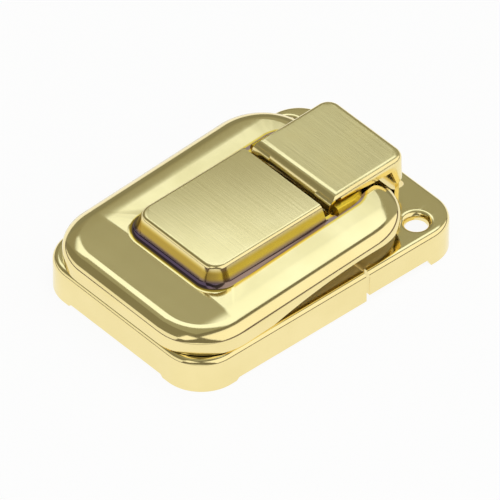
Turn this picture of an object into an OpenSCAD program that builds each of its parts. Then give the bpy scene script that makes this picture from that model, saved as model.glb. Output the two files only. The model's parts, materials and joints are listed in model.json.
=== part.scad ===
// Toggle latch: drawn sheet base, covering lever, claw hook and keeper, shown closed.
// Millimetres. +Z leaves the mounting plane, +X runs from the lever's free end to the keeper.

/* [Plates] */
// Width of the base and of the keeper
plate_width = 35.5; // [34:0.5:42]
// Length of the base from its rounded end to the gap
base_length = 32.4; // [31:0.2:36]
// Length of the keeper from the gap to its rounded end
keeper_length = 18.6; // [18:0.2:24]
// Free gap between the base and the keeper
plate_gap = 0.6; // [0.4:0.1:1]
// Height of the flat plate tops over the mounting plane
plate_height = 5.6; // [5.2:0.1:6]
// Sheet thickness of the base and of the keeper
plate_sheet = 0.7; // [0.5:0.05:0.9]
// Plan radius of the base's two corners
base_corner = 6.4; // [5:0.2:8]
// Plan radius of the keeper's two corners
keeper_corner = 5.8; // [5:0.2:8]
// Outside radius where a plate's top turns into its skirt
plate_edge = 1; // [0.95:0.05:1.6]
// How far the corner feet hang below the skirts between them
foot_drop = 0.45; // [0.2:0.05:0.8]
// How far the keeper's long skirts end above the mounting plane
keeper_skirt_lift = 1.3; // [0.4:0.1:1.8]

/* [Screw holes] */
// Clear diameter of the four screw holes
screw_hole = 3.4; // [3:0.1:3.8]
// Diameter of the dimple at the plate's top
screw_dimple = 5.3; // [4.6:0.1:5.5]
// Depth of the dimple's wall below the plate's top
dimple_depth = 0.9; // [0.7:0.1:1.2]
// Distance of the base's holes from its rounded end
base_hole_inset = 9; // [8:0.5:11]
// Distance between the base's holes across the latch
base_hole_span = 24; // [20:0.5:26]
// Distance of the keeper's holes from its rounded end
keeper_hole_inset = 6.2; // [5.6:0.2:8]
// Distance between the keeper's holes across the latch
keeper_hole_span = 27.8; // [26:0.2:28.4]

/* [Lever] */
// Length of the lever's cover
lever_length = 44; // [43:0.1:44.2]
// Step from each side of the base in to the lever's side
lever_side_step = 0.25; // [0:0.05:1]
// Plan radius of the lever's corners
lever_corner = 9; // [6:0.5:9]
// Height of the cover over its lower rim at the free end
lever_depth = 3.4; // [3.2:0.1:3.8]
// Sheet thickness of the lever
lever_sheet = 0.8; // [0.6:0.05:0.9]
// Radius where the cover begins to turn down at its edges
lever_soft_edge = 3.6; // [2.4:0.1:4]
// Radius where that soft edge runs into the rim
lever_tight_edge = 1.6; // [1.2:0.1:1.8]
// Upward slope of the closed cover's front part, degrees
lever_front_tilt = 1; // [0:0.25:2]
// Upward slope of the closed cover behind its bend, degrees
lever_tilt = 3.5; // [2.5:0.25:4]
// Distance of the bend from the free end
lever_bend = 9.6; // [9.4:0.1:10]
// Clearance under the lever's free end when it is closed
lever_rest_clearance = 0.1; // [0.05:0.05:0.3]
// Radius of the arch in the lower rim
arch_radius = 81; // [70:1:110]
// Distance of the arch's crest from the free end
arch_crest = 30.5; // [28:0.5:33]
// Height of the cover over the rim at the crest
arch_skirt = 1.8; // [1.7:0.1:2.6]

/* [Pressed block] */
// Distance of the block's flat from the free end
block_start = 11.4; // [10:0.2:13]
// End of the front block, where the slit starts
slit_start = 31.9; // [31.4:0.1:32.2]
// End of the slit in the block's side walls
slit_end = 34.2; // [33.8:0.1:34.6]
// Rear end of the block's flat under the hook
block_end = 39.5; // [39:0.1:40]
// Width of the block's flat
block_width = 16.9; // [16.4:0.1:17.4]
// Height of the block over the cover at its middle
block_height = 2.76; // [2.4:0.1:3]
// Fall of the block's flat relative to the cover, degrees
block_fall = 2; // [0:0.25:2.5]
// Outward run of the sloped walls over the block's height
block_run = 1.25; // [0.8:0.05:1.5]
// Plan radius of the block's corners at the flat
block_corner = 2.2; // [1.6:0.1:3]
// Radius of the block's upper edge
block_edge = 0.7; // [0.3:0.05:0.8]
// Radius of the hollow round the block's foot
block_foot = 1.3; // [0.8:0.05:1.4]

/* [Hook] */
// Width of the hook
hook_width = 17; // [16.6:0.1:17.2]
// Rear face of the hook from the lever's free end
hook_end = 48.6; // [48.4:0.1:48.8]
// Sheet thickness of the hook
hook_sheet = 0.8; // [0.7:0.05:0.85]
// Plan radius of the hook's rear corners
hook_corner = 2.2; // [1.8:0.1:3]
// Outside radius of the hook's edges
hook_edge = 0.95; // [0.9:0.05:1.2]
// Upward slope of the closed hook towards the keeper, degrees
hook_tilt = 2; // [1:0.25:2.5]
// Outside radius of the rolled front edge
hook_roll = 1.45; // [1.4:0.05:1.5]
// Outside radius of the soft bend over the rolled edge
hook_bend = 2.4; // [2.2:0.1:2.6]
// Depth of the leg below the keeper's top
leg_reach = 1.6; // [1.4:0.1:1.7]

/* [Pivots] */
// Diameter of the lever's fulcrum pin
fulcrum_diameter = 1.8; // [1.6:0.1:2]
// Diameter of the hook's pin
hook_pin_diameter = 1.2; // [1:0.1:1.3]
// Radial running clearance of both pins
running_clearance = 0.05; // [0.03:0.01:0.09]
// Interference of the pins and rivets in the parts that hold them
press_interference = 0.02; // [0.01:0.01:0.04]
// Diameter of the two bracket rivets
rivet_diameter = 2; // [1.6:0.1:2.4]

/* [Part choice] */
// Node to draw, or all of them

/* [Hidden] */
$fn = 64;
gold = [0.86, 0.79, 0.5];
gold_dark = [0.74, 0.66, 0.4];
steel = [0.75, 0.74, 0.68];
// Overshoot that keeps cutters off the faces they cut
over = 0.5;
overall_length = base_length + plate_gap + keeper_length;
half_width = plate_width / 2;
keeper_start = base_length + plate_gap;
lever_width = plate_width - 2 * lever_side_step;
// Fulcrum axis: on the base's arms, just inside the lever's rear end
fulcrum_inset = 2.7;
fulcrum_rise = 3.2;
fulcrum_x = lever_length - fulcrum_inset;
fulcrum_z = plate_height + fulcrum_rise;
// Hook axis: behind the slit, a little above the line from the fulcrum to the claw
hook_setback = 0.6;
hook_rise = 2.1;
hook_x = slit_end + hook_setback;
hook_z = fulcrum_z + hook_rise;
// Flat top of the hook over its rolled edge
hook_neck = 0.5;
hook_top = hook_z + hook_neck + hook_roll;
// Side walls of the hook: depth at the roll and at the leg, and where each depth starts
wall_front_depth = 0.95;
wall_depth = 1.7;
wall_front_run = 1;
wall_run = 7.4;
// Leg of the hook: width at its foot and at its knee, rise of its straight part, knee radius
leg_width = 1.4;
leg_knee = 3.2;
leg_rise = 1.8;
knee_radius = 1.2;
knee_ease = 0.7;
// Tongue below the leg's full width: its half width and its top over the plates
tongue_half = 6.4;
tongue_rise = 2.6;
// Bend that carries the hook's cap to its front, and the lowest point of its free sides
cap_start = hook_x - hook_roll + hook_bend;
bend_side_low = hook_z + 1.4;
// Lever frame: the lower rim's free end
lever_z = plate_height + lever_rest_clearance;
lever_front = 0.2;
// Turn of the soft edge where its two radii meet
edge_turn = 40;
// Bend line on the cover's top, in the closed pose
bend_x = lever_front + lever_bend * cos(lever_front_tilt) - lever_depth * sin(lever_front_tilt);
bend_z = lever_z + lever_bend * sin(lever_front_tilt) + lever_depth * cos(lever_front_tilt);
// Outward run of the block's walls for each unit of height, and its lift at the free end
block_slope = block_run / block_height;
block_lift = tan(block_fall) * (slit_start - block_start) / 2;
// Lower, narrower rear part of the pressed block, under the hook
rear_height = 1.1;
rear_half = block_width / 2 - 1.05;
rear_slope = 1.2;
// Yoke ears and bracket arms, from the middle plane outwards, and the play between them
ear_inside = 5.4;
ear_sheet = 0.8;
ear_clearance = 0.4;
arm_inside = ear_inside + ear_sheet + ear_clearance;
arm_sheet = 1;
// Window between the block's side walls for the rolled edge and the yoke
window_clearance = 0.7;
window_half = ear_inside + ear_sheet + window_clearance;
window_reach = 3;
window_end = slit_end + window_reach;
// Slit's clearance beside the hook, and what it leaves of the walls over the cover
slit_clearance = 0.3;
slit_foot = 0.12;
arm_end_radius = 1.35;
// Rolled edge between the yoke's ears
roll_half = ear_inside - 0.3;
// Outside radius of the keeper's flange bend
flange_bend = 1.4;
// Slot in the keeper's top for the leg
slot_front = hook_end - hook_sheet - 0.4;
slot_rear = hook_end + 1.1;
slot_half = tongue_half + 0.5;
leg_bottom = plate_height - leg_reach;
bracket_start = 22;
bracket_end = 31.2;
bracket_sheet = 0.8;
rivet_x = 26.5;
rivet_y = 4.5;
rivet_head = rivet_diameter / 2 + 0.7;
rivet_rise = 0.7;

// Moves the working frame, which starts at the lever's free end, to the middle of the latch.
module centred() {
    translate([-overall_length / 2, 0, 0]) children();
}

// Cross-section of a slab, both upper edges rounded.
module crown(half, height, edge) {
    difference() {
        translate([-half, 0]) square([2 * half, height]);
        for (side = [-1, 1])
            scale_side(side) edge_cut(half, height, edge);
    }
}

module scale_side(side) {
    if (side > 0) children();
    else mirror([1, 0]) children();
}

// What a rounded edge takes off a corner.
module edge_cut(half, height, edge) {
    translate([half - edge, height - edge])
        difference() {
            square(edge + over);
            circle(edge);
        }
}

// Half of that cross-section, for the corners.
module half_crown(radius, height, edge) {
    difference() {
        square([radius, height]);
        edge_cut(radius, height, edge);
    }
}

// Four quarter turns and two bars make one rounded slab from x = 0.
module slab(length, half, corner, height, edge) {
    bars(length, half, corner) crown($span, height, edge);
    quarters(length, half, corner) half_crown(corner, height, edge);
}

// Sweeps a cross-section along X and along Y; $span is its half width there.
module bars(length, half, corner) {
    translate([corner, 0, 0])
        rotate([90, 0, 90])
            linear_extrude(length - 2 * corner) {
                $span = half;
                children();
            }
    translate([length / 2, half - corner, 0])
        rotate([90, 0, 0])
            linear_extrude(2 * (half - corner)) {
                $span = length / 2;
                children();
            }
}

// Turns a half section about each corner's axis.
module quarters(length, half, corner) {
    for (end = [0, 1], side = [0, 1])
        translate([end ? length - corner : corner, side ? half - corner : corner - half, 0])
            rotate([0, 0, end ? (side ? 0 : 270) : (side ? 90 : 180)])
                rotate_extrude(angle = 90) children();
}

// A slab hollowed from below to sheet thickness.
module pan(length, half, corner, height, edge, sheet) {
    difference() {
        slab(length, half, corner, height, edge);
        translate([sheet, 0, -over])
            slab(length - 2 * sheet, half - sheet, corner - sheet, height - sheet + over, edge - sheet);
    }
}

// Trapezoid cut along a skirt's lower edge, which leaves the corners as feet.
module foot_gap(length, lift = foot_drop) {
    translate([0, 2 * plate_width, 0])
        rotate([90, 0, 0])
            linear_extrude(4 * plate_width)
                polygon([[-1, -over], [0, lift], [length, lift], [length + 1, -over]]);
}

// Rolled-in dimple round a screw hole: what is added under the top, then what is cut.
module dimple_wall() {
    translate([0, 0, plate_height - dimple_depth - plate_sheet / 2])
        cylinder(h = dimple_depth, r1 = screw_hole / 2 + plate_sheet, r2 = screw_dimple / 2 + plate_sheet);
}

module dimple_cut() {
    roll = (screw_dimple - screw_hole) / 2;
    cylinder(h = 2 * plate_height, d = screw_hole);
    rotate_extrude()
        difference() {
            translate([0, plate_height - roll]) square([screw_dimple / 2, roll + over]);
            translate([screw_dimple / 2, plate_height - roll]) circle(roll);
        }
}

module at_base_holes() {
    for (side = [-1, 1])
        translate([base_hole_inset, side * base_hole_span / 2, 0]) children();
}

module at_keeper_holes() {
    for (side = [-1, 1])
        translate([overall_length - keeper_hole_inset, side * keeper_hole_span / 2, 0]) children();
}

// Pin-like bar across the latch at a point of the side view.
module across(x, z, radius, half) {
    translate([x, half, z])
        rotate([90, 0, 0])
            cylinder(h = 2 * half, r = radius);
}

// A side-view outline given thickness between two distances from the middle plane.
module cheek(inside, thick) {
    for (side = [-1, 1])
        translate([0, side > 0 ? inside + thick : -inside, 0])
            rotate([90, 0, 0])
                linear_extrude(thick) children();
}

// Front pan with its dimples, its rivet holes and its plain cut edge at the gap.
module base_plate() {
    color(gold) centred() difference() {
        union() {
            pan(base_length + 2 * base_corner, half_width, base_corner,
                plate_height, plate_edge, plate_sheet);
            at_base_holes() dimple_wall();
        }
        translate([base_length, -plate_width, -over])
            cube([3 * base_corner, 2 * plate_width, 2 * plate_height]);
        at_base_holes() dimple_cut();
        translate([base_corner + 1.6, 0, 0]) foot_gap(base_length);
        rotate([0, 0, 90]) translate([base_corner + 1.6 - half_width, 0, 0])
            front_foot_gap();
        for (side = [-1, 1])
            translate([rivet_x, side * rivet_y, 0])
                cylinder(h = plate_height + over, d = rivet_diameter - 2 * press_interference);
    }
}

// The same cut for the short edges, held to the end it belongs to.
module front_foot_gap() {
    intersection() {
        foot_gap(plate_width - 2 * base_corner - 3.2);
        translate([-plate_width, -base_corner, -over])
            cube([3 * plate_width, 2 * base_corner, 2 * plate_height]);
    }
}

// Rear pan with its dimples, its slot for the claw's leg and its bent front flange.
module keeper_plate() {
    extra = 2 * keeper_corner;
    color(gold) centred() {
        difference() {
            union() {
                translate([keeper_start - extra, 0, 0])
                    pan(keeper_length + extra, half_width, keeper_corner,
                        plate_height, plate_edge, plate_sheet);
                at_keeper_holes() dimple_wall();
                keeper_flange();
            }
            translate([keeper_start - 3 * extra, -plate_width, -over])
                cube([3 * extra, 2 * plate_width, 2 * plate_height]);
            keeper_bend_cut();
            at_keeper_holes() dimple_cut();
            translate([keeper_start - 3, 0, 0])
                foot_gap(keeper_length + 3 - keeper_corner - 1.6, keeper_skirt_lift);
            translate([overall_length, 0, 0]) rotate([0, 0, 90])
                translate([keeper_corner + 1.6 - half_width, 0, 0]) rear_foot_gap();
            translate([0, 0, plate_height - 2 * plate_sheet])
                linear_extrude(4 * plate_sheet) slot_outline();
            for (side = [-1, 1])
                translate([keeper_start - over, side * (half_width - 1.4) - 0.2, -over])
                    cube([flange_bend + over, 0.4, 2 * plate_height]);
        }
    }
}

module rear_foot_gap() {
    intersection() {
        foot_gap(plate_width - 2 * keeper_corner - 3.2);
        translate([-plate_width, -keeper_corner, -over])
            cube([3 * plate_width, 2 * keeper_corner, 2 * plate_height]);
    }
}

// Down-bent flange at the gap.
module keeper_flange() {
    low = keeper_skirt_lift;
    translate([keeper_start, plate_sheet - half_width, low])
        cube([plate_sheet, plate_width - 2 * plate_sheet, plate_height - low - plate_sheet / 2]);
    translate([keeper_start + plate_sheet / 2, 1.6 - half_width, plate_height - 1.4 * plate_sheet])
        cube([plate_sheet, plate_width - 3.2, plate_sheet]);
}

// Rounds the flange's bend.
module keeper_bend_cut() {
    translate([keeper_start, half_width - 1.2, 0])
        rotate([90, 0, 0])
            linear_extrude(plate_width - 2.4)
                mirror([1, 0]) edge_cut(0, plate_height, flange_bend);
}

module slot_outline() {
    round = 0.8;
    translate([slot_front, round - slot_half])
        square([slot_rear - slot_front, 2 * (slot_half - round)]);
    translate([slot_front + round, -slot_half])
        square([slot_rear - slot_front - 2 * round, 2 * slot_half]);
    for (x = [slot_front + round, slot_rear - round], side = [-1, 1])
        translate([x, side * (slot_half - round)]) circle(round);
}

// Floor on the base with two arms that reach over the gap to the fulcrum.
module fulcrum_bracket() {
    color(gold_dark) centred() difference() {
        union() {
            translate([bracket_start, -arm_inside - arm_sheet, plate_height])
                cube([bracket_end - bracket_start, 2 * (arm_inside + arm_sheet), bracket_sheet]);
            cheek(arm_inside, arm_sheet) arm_outline();
        }
        across(fulcrum_x, fulcrum_z, fulcrum_diameter / 2 - press_interference, plate_width);
        for (side = [-1, 1])
            translate([rivet_x, side * rivet_y, 0])
                cylinder(h = 2 * plate_height, d = rivet_diameter - 2 * press_interference);
    }
}

module arm_outline() {
    foot = plate_height;
    translate([fulcrum_x, fulcrum_z]) circle(arm_end_radius);
    polygon([[bracket_start, foot], [bracket_end, foot], [bracket_end + 0.6, foot + 0.6],
             [fulcrum_x - 6, foot + 0.6], [fulcrum_x + 0.5, fulcrum_z - 1.2],
             [fulcrum_x - 0.4, fulcrum_z + 1.25], [bracket_start + 5, foot + 3],
             [bracket_start, foot + 1.6]]);
}

module bracket_rivet(side) {
    color(gold_dark) centred() translate([rivet_x, side * rivet_y, 0]) {
        translate([0, 0, plate_height + bracket_sheet])
            cylinder(h = rivet_rise, r1 = rivet_head, r2 = rivet_head - 0.4);
        translate([0, 0, plate_height - plate_sheet])
            cylinder(h = plate_sheet + bracket_sheet + rivet_rise / 2, d = rivet_diameter);
        translate([0, 0, plate_height - plate_sheet - rivet_rise])
            cylinder(h = rivet_rise, r1 = rivet_head - 0.4, r2 = rivet_head);
    }
}

module bracket_rivet_left() {
    bracket_rivet(1);
}

module bracket_rivet_right() {
    bracket_rivet(-1);
}

module fulcrum_pin() {
    color(steel) centred()
        across(fulcrum_x, fulcrum_z, fulcrum_diameter / 2, arm_inside + arm_sheet + 0.2);
}

// Puts the lever's own frame, flat and starting at its rim, into the closed pose.
module lever_frame() {
    translate([bend_x, 0, bend_z])
        rotate([0, -lever_tilt, 0])
            translate([-lever_bend, 0, -lever_depth]) children();
}

// The same for the cover's front part, ahead of its bend.
module front_frame() {
    translate([lever_front, 0, lever_z])
        rotate([0, -lever_front_tilt, 0]) children();
}

// Everything ahead of the plane that halves the bend.
module ahead_of_bend() {
    translate([bend_x, 0, bend_z])
        rotate([0, -(lever_tilt + lever_front_tilt) / 2, 0])
            translate([-lever_length, -plate_width, -2 * plate_height])
                cube([lever_length, 2 * plate_width, 4 * plate_height]);
}

// A flat form bent up at the bend line.
module bent() {
    difference() {
        lever_frame() children();
        ahead_of_bend();
    }
    intersection() {
        front_frame() children();
        ahead_of_bend();
    }
}

// Half section of the cover: a wide radius at the top that tightens into the rim.
module soft_half(radius, height, inset) {
    soft = lever_soft_edge - inset;
    tight = lever_tight_edge - inset;
    out = [sin(edge_turn), cos(edge_turn)];
    run = (soft - tight) * out[0] + tight;
    drop = soft - (soft - tight) * out[1];
    wide = [radius - run, height - soft];
    difference() {
        square([radius, height]);
        difference() {
            translate([radius - run, height - drop]) square([run + over, drop + over]);
            intersection() {
                translate(wide) circle(soft);
                polygon([wide, wide + [0, 2 * soft], wide + 2 * soft * out]);
            }
            translate([radius - tight, height - drop]) circle(tight);
        }
    }
}

// Cover's slab from x = 0, from the corners' own half section.
module soft_slab(length, half, corner, height, inset) {
    bars(length, half, corner) {
        for (side = [-1, 1])
            scale_side(side) translate([$span - corner, 0]) soft_half(corner, height, inset);
        translate([corner - $span - over / 5, 0])
            square([2 * ($span - corner + over / 5), height]);
    }
    quarters(length, half, corner) soft_half(corner, height, inset);
}

// Fillet circle at the block's foot: its middle, from the flat's half width.
function foot_middle(half, height, slope, foot) =
    [half + slope * (height - foot) + foot * sqrt(1 + slope * slope), foot];

// Right-hand outline of the block: sunk base, fillet corner, sloped wall, flat.
function block_side(half, height, slope, foot, sunk) =
    let (middle = foot_middle(half, height, slope, foot),
         touch = middle - foot / sqrt(1 + slope * slope) * [1, slope])
    [[middle[0], -sunk], [middle[0], touch[1]], touch, [half, height]];

// Cross-section of the pressed block from outside: the corners' own half section at both sides,
// so that the swept walls and the turned corners meet on the same curves.
module block_crown(half, corner, height, slope, edge, foot, sunk) {
    inner = half - corner;
    for (side = [-1, 1])
        scale_side(side) translate([inner, 0])
            block_half_crown(corner, height, slope, edge, foot, sunk);
    translate([-inner - over / 5, -sunk])
        square([2 * (inner + over / 5), height + sunk]);
}

module block_half_crown(radius, height, slope, edge, foot, sunk) {
    difference() {
        polygon(concat(block_side(radius, height, slope, foot, sunk), [[0, height], [0, -sunk]]));
        block_side_cut(radius, height, slope, edge, foot);
    }
}

// What the hollow foot and the rounded upper edge take off that outline.
module block_side_cut(half, height, slope, edge, foot) {
    lean = sqrt(1 + slope * slope);
    middle = [half - edge * (lean - slope), height - edge];
    out = [1, slope] / lean;
    touch = middle + edge * out;
    translate(foot_middle(half, height, slope, foot) + [0.02, -0.02]) circle(foot);
    difference() {
        polygon([middle, [middle[0], height + over], [half + over, height + over],
                 touch + over * out, touch]);
        translate(middle) circle(edge);
    }
}

// Sloped block from x = 0 at its flat; its foot runs out past that.
module block_solid(length, half, corner, height, slope, edge, foot, sunk) {
    bars(length, half, corner) block_crown($span, corner, height, slope, edge, foot, sunk);
    quarters(length, half, corner) block_half_crown(corner, height, slope, edge, foot, sunk);
}

// The same block from inside, with plain edges.
module block_core(length, half, corner, height, slope) {
    bars(length, half, corner)
        polygon([[-$span - slope * height, 0], [$span + slope * height, 0],
                 [$span, height], [-$span, height]]);
    quarters(length, half, corner)
        polygon([[0, 0], [corner + slope * height, 0], [corner, height], [0, height]]);
}

// Frame of the pressed block: its flat falls a little towards the hook.
module block_frame() {
    middle = (block_start + slit_start) / 2;
    lever_frame()
        translate([middle, 0, lever_depth])
            rotate([0, block_fall, 0])
                translate([-middle, 0, 0]) children();
}

// Everything behind the start of the slit.
module behind_slit() {
    translate([slit_start + 0.4, -plate_width, 0])
        cube([lever_length, 2 * plate_width, 4 * plate_height]);
}

// Everything ahead of the slit's end, in the lever's frame.
module ahead_of_slit_end() {
    translate([0, -plate_width, -plate_height])
        cube([slit_end, 2 * plate_width, 4 * plate_height]);
}

module block_outside() {
    front_height = block_height + block_lift;
    difference() {
        block_frame() translate([block_start, 0, -block_lift])
            block_solid(slit_end + 4 - block_start, block_width / 2, block_corner, front_height,
                        block_slope, block_edge, block_foot, lever_sheet * 0.7);
        behind_slit();
    }
}

module block_inside() {
    sunk = 2.4;
    inset = lever_sheet * 1.1;
    difference() {
        block_frame() translate([block_start + inset, 0, -sunk])
            block_core(slit_end + 4 - block_start, block_width / 2 - inset, block_corner - inset,
                       block_height + sunk - lever_sheet, block_slope);
        behind_slit();
    }
}

module rear_outside() {
    early = slit_end - 5;
    lever_frame() difference() {
        translate([early, 0, lever_depth])
            block_solid(block_end - early, rear_half, block_corner, rear_height,
                        rear_slope, block_edge / 2, block_foot / 3, lever_sheet * 0.7);
        ahead_of_slit_end();
    }
}

module rear_inside() {
    early = slit_end - 5;
    inset = lever_sheet * 0.95;
    sunk = 2.4;
    lever_frame() difference() {
        translate([early, 0, lever_depth - sunk])
            block_core(block_end - early - inset, rear_half - inset, block_corner - inset,
                       rear_height + sunk - lever_sheet, rear_slope);
        ahead_of_slit_end();
    }
}

// Drawn cover with its arched rim, its pressed block and the slit for the hook.
module lever() {
    color(gold) centred() difference() {
        union() {
            bent() soft_slab(lever_length, lever_width / 2, lever_corner, lever_depth, 0);
            block_outside();
            rear_outside();
        }
        bent() translate([lever_sheet, 0, -over])
            soft_slab(lever_length - 2 * lever_sheet, lever_width / 2 - lever_sheet,
                      lever_corner - lever_sheet, lever_depth - lever_sheet + over, lever_sheet);
        block_inside();
        rear_inside();
        lever_frame()
            across(arch_crest, lever_depth - arch_skirt - arch_radius, arch_radius, plate_width, $fn = 240);
        slit_cut();
        window_cut();
    }
}

// Transverse slit through the block's side walls down to their foot, and between them through
// the cover, where the hook's edge dips when the lever is raised.
module slit_cut() {
    half = hook_width / 2 + slit_clearance;
    lever_frame() {
        translate([slit_start, -block_width, lever_depth + slit_foot])
            cube([slit_end - slit_start, 2 * block_width, 4 * block_height]);
        translate([slit_start, -half, lever_depth - 2 * lever_sheet])
            cube([slit_end - slit_start, 2 * half, 2 * lever_depth]);
    }
}

// Room for the rolled edge and the ears between the side walls.
module window_cut() {
    translate([slit_start, -window_half, lever_z])
        cube([window_end - slit_start, 2 * window_half, 4 * lever_depth]);
}

// Web under the rear of the block with two ears that hold the hook's pin and turn on the fulcrum.
module lever_yoke() {
    color(gold_dark) centred() difference() {
        union() {
            web_z = lever_depth + rear_height - 2 * lever_sheet;
            lever_frame()
                translate([window_end, -ear_inside - ear_sheet, web_z])
                    cube([1.3, 2 * (ear_inside + ear_sheet), lever_sheet + press_interference]);
            cheek(ear_inside, ear_sheet) ear_outline();
        }
        across(fulcrum_x, fulcrum_z, fulcrum_diameter / 2 + running_clearance, plate_width);
        across(hook_x, hook_z, hook_pin_diameter / 2 - press_interference, plate_width);
    }
}

module ear_outline() {
    reach = [fulcrum_x - hook_x, fulcrum_z - hook_z];
    side = [-reach[1], reach[0]] / norm(reach);
    tip = [hook_x, hook_z];
    root = [fulcrum_x, fulcrum_z];
    translate(tip) circle(1.1);
    translate(root) circle(1.5);
    polygon([tip + 0.8 * side, root + 1.2 * side, root - 1.2 * side, tip - 0.8 * side]);
}

module hook_pin() {
    color(steel) centred()
        across(hook_x, hook_z, hook_pin_diameter / 2, ear_inside + ear_sheet + 0.1);
}

// Claw: a cap with a rolled front edge, short side walls and a deep rear leg.
module hook() {
    color(gold) centred()
        translate([hook_x, 0, hook_z]) rotate([0, -hook_tilt, 0]) translate([-hook_x, 0, -hook_z]) {
            hook_cap();
            hook_front();
        }
}

module hook_cap() {
    length = hook_end - cap_start;
    extra = 3 * hook_corner;
    difference() {
        translate([cap_start - extra, 0, leg_bottom])
            pan(length + extra, hook_width / 2, hook_corner, hook_top - leg_bottom, hook_edge, hook_sheet);
        translate([cap_start - 2 * extra, -hook_width, 0])
            cube([2 * extra, 2 * hook_width, 2 * hook_top]);
        for (side = [-1, 1])
            translate([hook_x, side > 0 ? tongue_half : -tongue_half - hook_width, 0])
                cube([hook_end, hook_width, plate_height + tongue_rise]);
        translate([0, hook_width, 0])
            rotate([90, 0, 0])
                linear_extrude(2 * hook_width) wall_cut();
    }
}

// Side view of what is cut away under the side walls and in front of the leg.
module wall_cut() {
    leg_front = hook_end - leg_width;
    knee = hook_end - leg_knee;
    low = hook_top - wall_depth;
    front_low = hook_top - wall_front_depth;
    round = knee_radius;
    difference() {
        polygon([[hook_x - 2 * hook_width, 0], [leg_front, 0], [leg_front, leg_bottom + leg_rise],
                 [knee, low], [hook_x + wall_run, low], [cap_start + wall_front_run, front_low],
                 [hook_x - 2 * hook_width, front_low]]);
        difference() {
            translate([knee - round, low - round]) square(2 * round);
            translate([knee - knee_ease - round, low - round]) circle(round);
            translate([knee - 3 * round, low - 4 * round]) square([8 * round, 3.9 * round]);
        }
    }
}

// Rolled front edge, full round only between the yoke's ears.
module hook_front() {
    difference() {
        union() {
            intersection() {
                roll_band();
                translate([hook_x - 2 * hook_roll, 0, leg_bottom]) rotate([90, 0, 90])
                    linear_extrude(4 * hook_roll) crown(hook_width / 2, hook_top - leg_bottom, hook_edge);
            }
            across(hook_x, hook_z, hook_roll - 0.08, roll_half);
            edge_lap();
        }
        across(hook_x, hook_z, hook_pin_diameter / 2 + running_clearance, plate_width);
    }
}

// Lap inside the sheet that joins the rolled edge to the cap.
module edge_lap() {
    lap = hook_sheet / 3;
    translate([cap_start - lap, -roll_half, hook_top - 0.85 * hook_sheet])
        cube([3 * lap, 2 * roll_half, 0.65 * hook_sheet]);
}

// Quarter of a tube that carries the cap round to the front.
module roll_band() {
    axis_z = hook_top - hook_bend;
    difference() {
        across(cap_start, axis_z, hook_bend, hook_width);
        across(cap_start, axis_z, hook_bend - hook_sheet, 2 * hook_width);
        translate([cap_start, -2 * hook_width, 0]) cube([hook_width, 4 * hook_width, 2 * hook_top]);
        translate([0, -roll_half, axis_z - 2 * hook_bend])
            cube([hook_end, 2 * roll_half, 2 * hook_bend]);
        for (side = [-1, 1])
            translate([0, side > 0 ? roll_half : -roll_half - hook_width, 0])
                cube([hook_end, hook_width, bend_side_low]);
    }
}

base_plate();
keeper_plate();
fulcrum_bracket();
bracket_rivet_left();
bracket_rivet_right();
fulcrum_pin();
lever();
lever_yoke();
hook_pin();
hook();
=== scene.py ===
"""Looks of a gold-plated toggle latch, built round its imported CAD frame, in metres."""

import json
import logging
import math
from dataclasses import dataclass
from enum import Enum

import bmesh
import bpy
from mathutils import Matrix, Vector


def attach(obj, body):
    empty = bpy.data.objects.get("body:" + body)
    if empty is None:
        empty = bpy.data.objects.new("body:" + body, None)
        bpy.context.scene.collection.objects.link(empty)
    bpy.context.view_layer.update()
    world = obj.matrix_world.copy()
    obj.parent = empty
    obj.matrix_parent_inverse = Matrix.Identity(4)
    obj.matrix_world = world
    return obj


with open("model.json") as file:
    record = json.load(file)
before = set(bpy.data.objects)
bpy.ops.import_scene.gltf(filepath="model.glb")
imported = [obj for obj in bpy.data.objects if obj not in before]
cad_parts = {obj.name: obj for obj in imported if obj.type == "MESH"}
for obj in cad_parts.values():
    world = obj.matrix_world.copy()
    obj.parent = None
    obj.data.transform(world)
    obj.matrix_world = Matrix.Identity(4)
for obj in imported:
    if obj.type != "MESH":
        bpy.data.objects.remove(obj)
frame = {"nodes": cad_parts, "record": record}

LOG = logging.getLogger("toggle_latch")
MILLIMETRE = 0.001

# Clean shading: points this close are joined, edges up to this angle shade as curves,
# and large faces set the normals.
JOIN_REACH = 0.0005 * MILLIMETRE
BEND_ANGLE = math.radians(27.0)
LARGE_FACE_WEIGHT = 100

Colour = tuple[float, float, float]
Point = tuple[float, float, float]
Limits = tuple[float | None, float | None]
Tree = bpy.types.NodeTree
Node = bpy.types.Node
Socket = bpy.types.NodeSocket
Fed = Socket | float | tuple[float, ...]


class MixKind(Enum):
    """What a mix node blends: its data type and the places of its first, second and result socket."""

    VALUE = ("FLOAT", 2, 3, 0)
    NORMAL = ("VECTOR", 4, 5, 1)
    COLOUR = ("RGBA", 6, 7, 2)


def opaque(colour: Colour) -> tuple[float, ...]:
    """A colour with full alpha, as a colour socket takes it."""
    return (*colour, 1.0)


def feed(tree: Tree, value: Fed, socket: Socket) -> None:
    """Gives an input its value.

    Args:
        tree: the nodes that hold the input.
        value: an output that is linked, or plain numbers that are set.
        socket: the input.
    """
    if isinstance(value, Socket):
        tree.links.new(value, socket)
    else:
        socket.default_value = value


def math_node(tree: Tree, operation: str, first: Socket, second: Fed = 0.0) -> Socket:
    """A math node.

    Args:
        tree: the nodes that it joins.
        operation: Blender's name of the operation.
        first: the first number's output.
        second: the second number, where the operation has one.

    Returns:
        The node's output.
    """
    node = tree.nodes.new("ShaderNodeMath")
    node.operation = operation
    feed(tree, first, node.inputs[0])
    feed(tree, second, node.inputs[1])
    return node.outputs[0]


def product(tree: Tree, first: Socket, second: Fed) -> Socket:
    """One number times another."""
    return math_node(tree, "MULTIPLY", first, second)


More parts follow.
